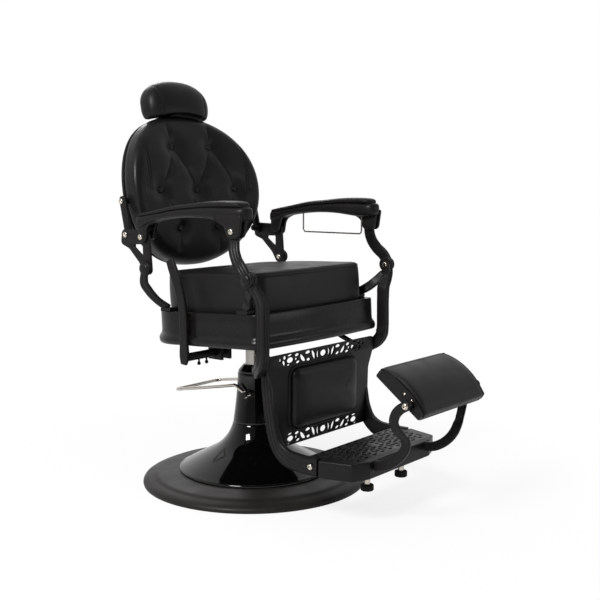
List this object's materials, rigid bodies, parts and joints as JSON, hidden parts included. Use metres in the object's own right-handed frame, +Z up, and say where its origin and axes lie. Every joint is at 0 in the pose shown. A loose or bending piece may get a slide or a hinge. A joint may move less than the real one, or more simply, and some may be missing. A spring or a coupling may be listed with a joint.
{
  "type": "hydraulic barber chair",
  "caption": "Hydraulic barber chair with reclining button-tufted back, sliding headrest, padded arms, pierced footplate with calf pad, round floor base and pump pedal.",
  "frame": {"origin": "centre of the floor plate, on the floor", "axes": "+Z up, the chair faces -Y, +X is the sitter's left"},
  "size_m": [0.6399, 1.0324, 1.1462],
  "materials": {
    "black_leather": "satin grained",
    "arm_pad": "satin",
    "black_casting": "satin black powder coat",
    "black_band": "satin",
    "black_base": "matte",
    "black_gloss": "gloss",
    "chrome": "polished",
    "steel": "satin",
    "gland": "satin",
    "bronze": "satin",
    "rubber": "matte",
    "board": "matte",
    "back_panel": "satin"
  },
  "bodies": {
    "base": {"base_plate": "black_base", "bell_cover": "black_gloss", "column_sleeve": "black_gloss", "pump_cylinder": "steel", "flange_bolts": "steel", "gland_cap": "gland", "rod_seal": "rubber", "pedal_studs": "chrome"},
    "pedal": {"pump_pedal": "chrome"},
    "lift": {"piston_rod": "chrome", "thrust_washer": "bronze"},
    "seat": {"swivel_hub": "steel", "seat_plate": "steel", "seat_rails": "board", "seat_board": "board", "seat_band": "black_band", "seat_cushion": "black_leather", "leg_right": "black_casting", "leg_left": "black_casting", "knuckle_bolts": "chrome", "rear_support_right": "black_casting", "rear_support_left": "black_casting", "strut_right": "black_casting", "strut_left": "black_casting", "leg_panel": "black_casting", "panel_cushion": "black_leather", "frame_bolts": "chrome", "frame_stays": "black_casting", "footplate": "black_casting", "foot_studs": "chrome", "rubber_feet": "rubber", "pad_arm_right": "black_casting", "pad_arm_left": "black_casting", "pad_bolts": "chrome", "lever_bracket": "black_casting"},
    "lever": {"side_lever": "black_casting", "lever_shaft": "black_casting", "lever_screws": "chrome"},
    "calf": {"calf_board": "board", "calf_ends": "black_casting", "calf_cushion": "black_leather"},
    "back": {"bracket_right": "black_casting", "bracket_left": "black_casting", "back_bars": "black_casting", "back_bolts": "chrome", "back_board": "back_panel", "back_cushion": "black_leather", "back_buttons": "black_leather", "headrest_socket": "steel"},
    "headrest": {"headrest_post": "steel", "headrest_board": "board", "headrest_cushion": "black_leather"},
    "arm_right": {"arm_casting_right": "black_casting", "arm_pad_right": "arm_pad"},
    "arm_left": {"arm_casting_left": "black_casting", "arm_pad_left": "arm_pad", "towel_rail": "chrome"},
    "link_right": {"front_link_right": "black_casting"},
    "link_left": {"front_link_left": "black_casting"}
  },
  "joints": [
    {"name": "lift", "type": "slide", "parent": "base", "child": "lift", "axis": [0, 0, 1], "range_m": [-0.07, 0.1]},
    {"name": "swivel", "type": "hinge", "parent": "lift", "child": "seat", "pos_m": [0, 0, 0.42], "axis": [0, 0, 1], "range_deg": [-110, 110]},
    {"name": "pedal", "type": "hinge", "parent": "base", "child": "pedal", "pos_m": [0, -0.027, 0.262], "axis": [-1, 0, 0], "range_deg": [0, 18], "stiffness_Nm_per_rad": 12, "springref_deg": -20.05},
    {"name": "side_lever", "type": "hinge", "parent": "seat", "child": "lever", "pos_m": [0, 0, 0.393], "axis": [-1, 0, 0], "range_deg": [0, 9], "stiffness_Nm_per_rad": 8, "springref_deg": -11.46},
    {"name": "back", "type": "hinge", "parent": "seat", "child": "back", "pos_m": [0, 0.135, 0.624], "axis": [-1, 0, 0], "range_deg": [0, 35]},
    {"name": "front_link_right", "type": "hinge", "parent": "seat", "child": "link_right", "pos_m": [0, -0.2525, 0.618], "axis": [-1, 0, 0], "range_deg": [0, 27]},
    {"name": "front_link_left", "type": "hinge", "parent": "seat", "child": "link_left", "pos_m": [0, -0.2525, 0.618], "axis": [-1, 0, 0], "range_deg": [0, 27]},
    {"name": "armrest_right", "type": "hinge", "parent": "back", "child": "arm_right", "pos_m": [0, 0.143, 0.709], "axis": [-1, 0, 0], "range_deg": [-38.5, 0]},
    {"name": "armrest_left", "type": "hinge", "parent": "back", "child": "arm_left", "pos_m": [0, 0.143, 0.709], "axis": [-1, 0, 0], "range_deg": [-38.5, 0]},
    {"name": "headrest", "type": "slide", "parent": "back", "child": "headrest", "axis": [0, 0.1392, 0.9903], "range_m": [0, 0.1]},
    {"name": "calf_pad", "type": "hinge", "parent": "seat", "child": "calf", "pos_m": [0, -0.62617, 0.33311], "axis": [1, 0, 0], "range_deg": [-15, 25]}
  ],
  "couplings": [
    {"joint": "front_link_right", "follows": "back", "ratio": 0.75112},
    {"joint": "front_link_left", "follows": "back", "ratio": 0.75112},
    {"joint": "armrest_right", "follows": "back", "ratio": -1.0812},
    {"joint": "armrest_left", "follows": "back", "ratio": -1.0812}
  ]
}
